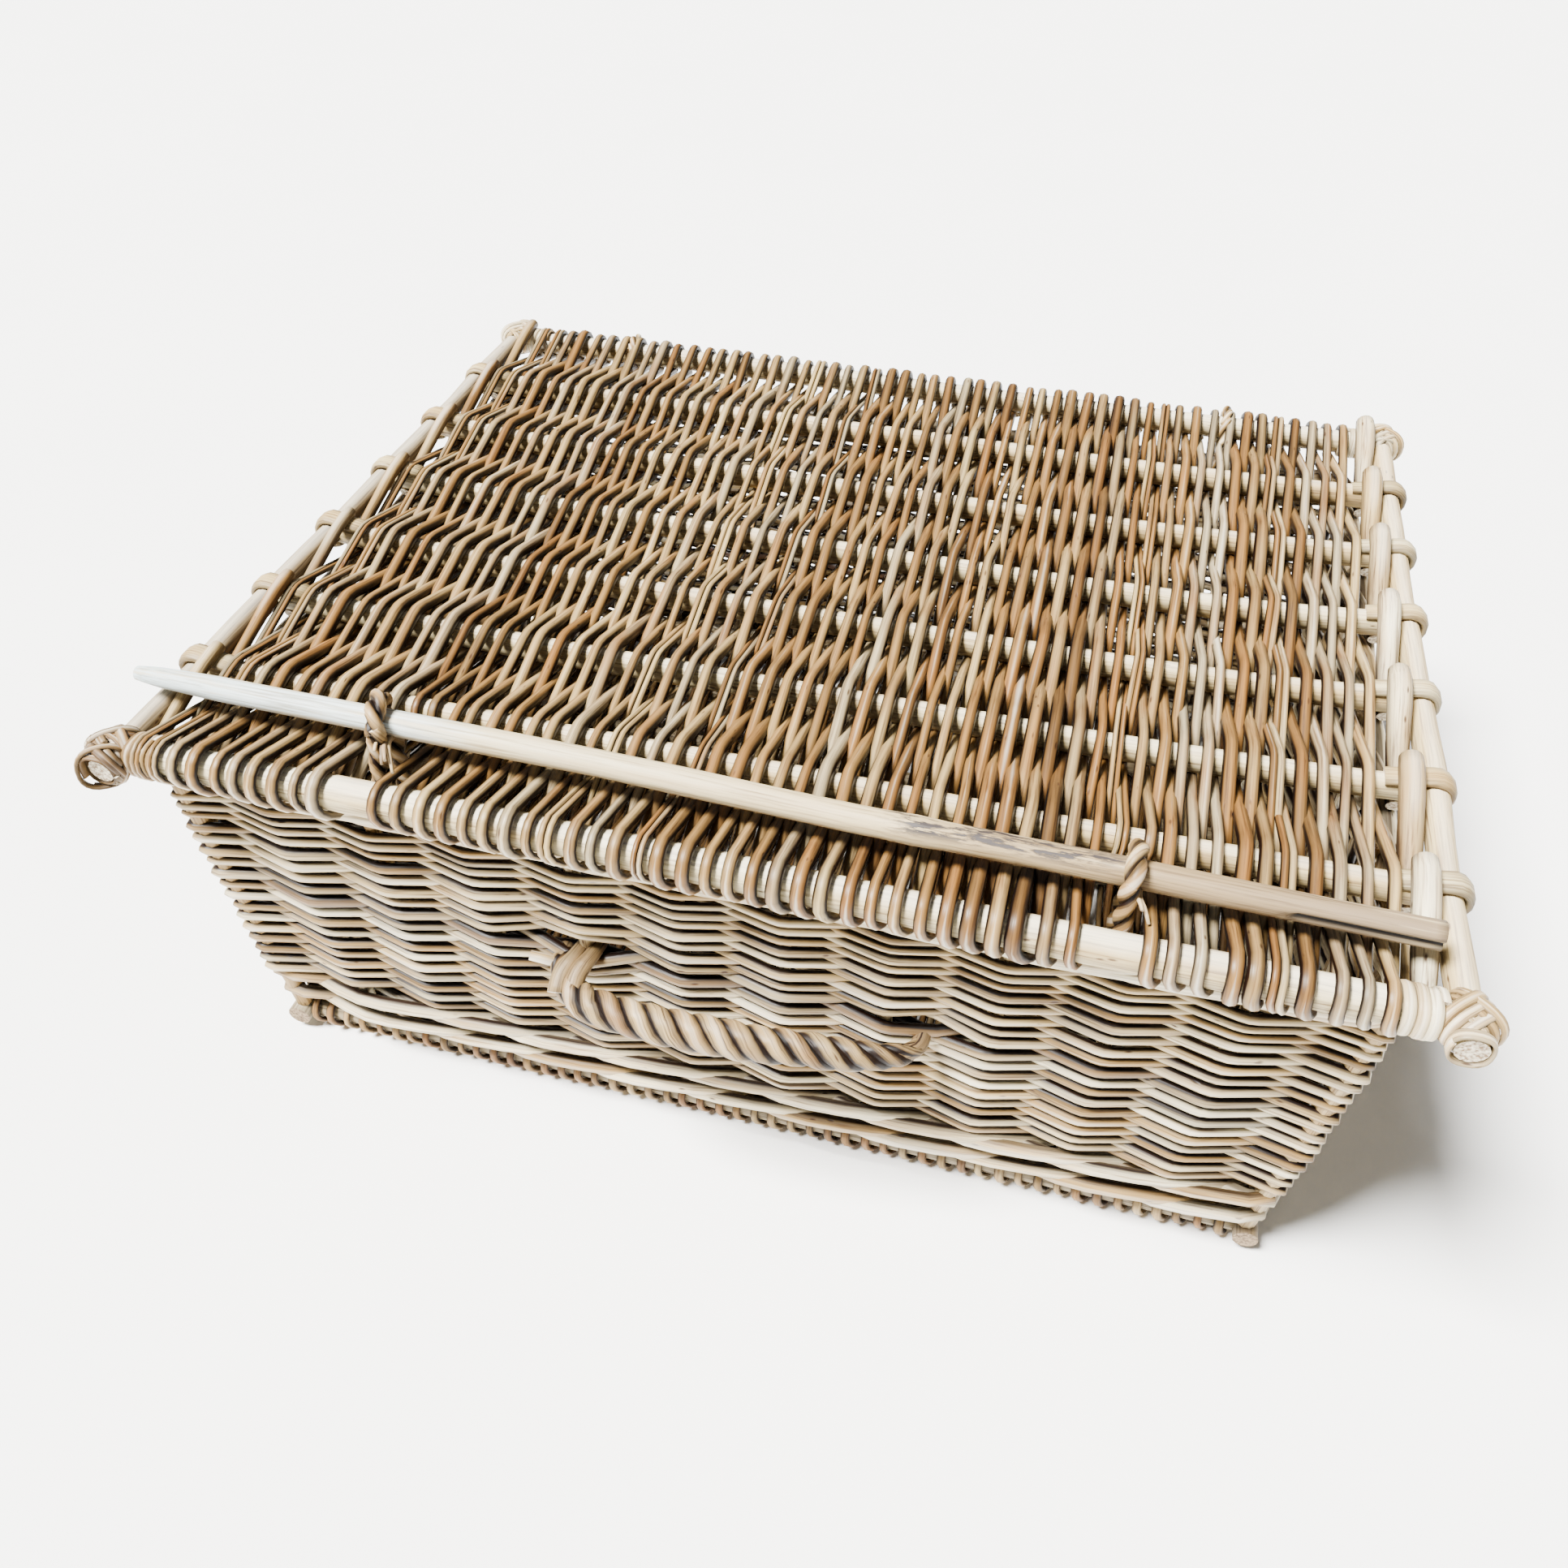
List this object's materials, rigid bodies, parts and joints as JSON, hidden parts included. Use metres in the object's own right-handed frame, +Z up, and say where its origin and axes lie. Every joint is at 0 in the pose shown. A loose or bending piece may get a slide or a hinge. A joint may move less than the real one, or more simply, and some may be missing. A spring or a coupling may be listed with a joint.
{
  "type": "wicker laundry hamper with lid",
  "caption": "Low rectangular woven-willow hamper with a hinged woven lid held shut by a rod through two twisted loops, and a roped willow handle on the front.",
  "frame": {"origin": "on the floor under the middle of the basket, in the plane that the hamper rests on", "axes": "+X along the width to the right seen from the front, +Y towards the back, where the lid is hinged, +Z up"},
  "size_m": [0.621, 0.5049, 0.2676],
  "materials": {
    "woven_willow": "dry buff willow rods, bark side out, slightly shiny on the crown",
    "border_willow": "thicker buff willow rods",
    "willow_sticks": "peeled pale willow sticks, matte",
    "twisted_willow": "twisted and bound willow with split fibres",
    "weathered_rod": "weathered stick, partly peeled, with a dark bark patch",
    "handle_willow": "roped brown willow, worn smooth"
  },
  "bodies": {
    "basket": {"base_sticks": "willow_sticks", "base_weave": "woven_willow", "base_side_sticks": "willow_sticks", "waling_front": "border_willow", "wall_weave_front": "woven_willow", "border_front": "border_willow", "stakes_front": "willow_sticks", "waling_right": "border_willow", "wall_weave_right": "woven_willow", "border_right": "border_willow", "stakes_right": "willow_sticks", "waling_back": "border_willow", "wall_weave_back": "woven_willow", "border_back": "border_willow", "stakes_back": "willow_sticks", "waling_left": "border_willow", "wall_weave_left": "woven_willow", "border_left": "border_willow", "stakes_left": "willow_sticks", "corner_stakes": "willow_sticks", "hasp_loop_left": "twisted_willow", "hasp_loop_right": "twisted_willow", "hinge_loop_left": "twisted_willow", "hinge_loop_right": "twisted_willow"},
    "lid": {"lid_front_stick": "willow_sticks", "lid_back_stick": "willow_sticks", "lid_cross_sticks": "willow_sticks", "lid_weave": "woven_willow", "lid_side_stick_left": "willow_sticks", "lid_stick_laps_left": "willow_sticks", "lid_side_packing_left": "willow_sticks", "corner_binding_front_left": "twisted_willow", "corner_binding_back_left": "twisted_willow", "lid_side_stick_right": "willow_sticks", "lid_stick_laps_right": "willow_sticks", "lid_side_packing_right": "willow_sticks", "corner_binding_front_right": "twisted_willow", "corner_binding_back_right": "twisted_willow"},
    "closing_rod": {"closing_rod": "weathered_rod"},
    "front_handle": {"handle_core": "handle_willow", "handle_rope": "handle_willow"}
  },
  "joints": [
    {"name": "lid_hinge", "type": "hinge", "parent": "basket", "child": "lid", "pos_m": [0, 0.236, 0.234], "axis": [-1, 0, 0], "range_deg": [0, 105]},
    {"name": "rod_slide", "type": "slide", "parent": "basket", "child": "closing_rod", "axis": [0.9998, -0.0187, 0], "range_m": [0, 0.61]},
    {"name": "handle_swing", "type": "hinge", "parent": "basket", "child": "front_handle", "pos_m": [0.005, -0.2128, 0.134], "axis": [-1, 0, 0], "range_deg": [-20, 35]}
  ]
}
